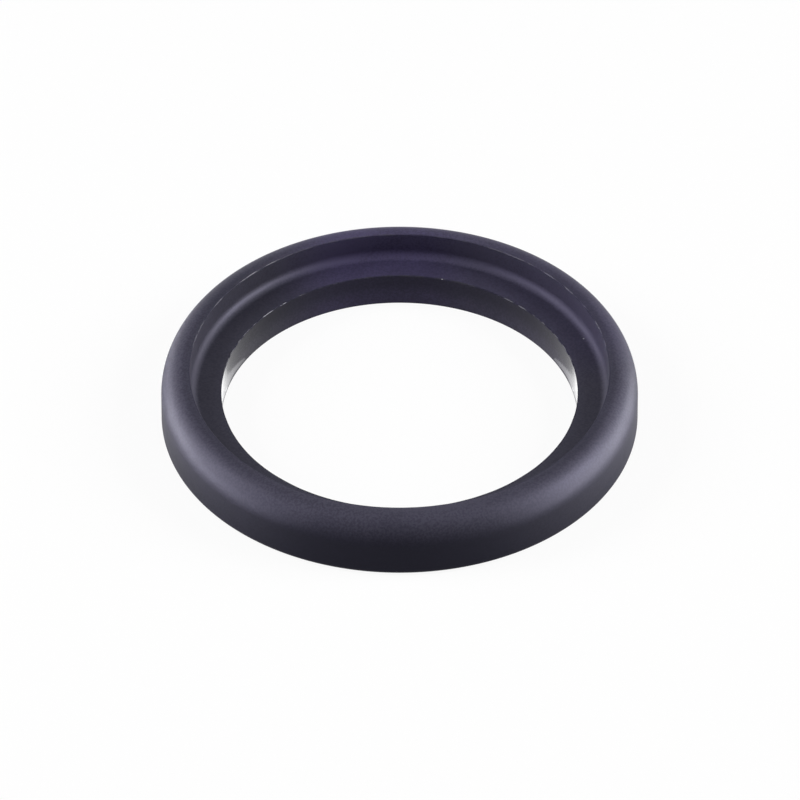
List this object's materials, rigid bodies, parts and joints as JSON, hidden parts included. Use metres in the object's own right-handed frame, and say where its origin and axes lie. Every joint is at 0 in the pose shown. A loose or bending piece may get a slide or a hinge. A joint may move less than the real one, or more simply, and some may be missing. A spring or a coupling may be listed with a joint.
{
  "type": "sealing ring",
  "caption": "Stepped rubber sealing ring with a rounded outer shoulder, a raised rim, a recessed inner ledge and a plain through bore.",
  "frame": {"origin": "centre of the flat base, on the bore axis", "axes": "+Z along the bore axis, from the flat base towards the raised rim"},
  "size_m": [0.08, 0.08, 0.0107],
  "materials": {
    "rubber": "satin"
  },
  "bodies": {
    "root": {"sealing_ring": "rubber"}
  },
  "joints": []
}
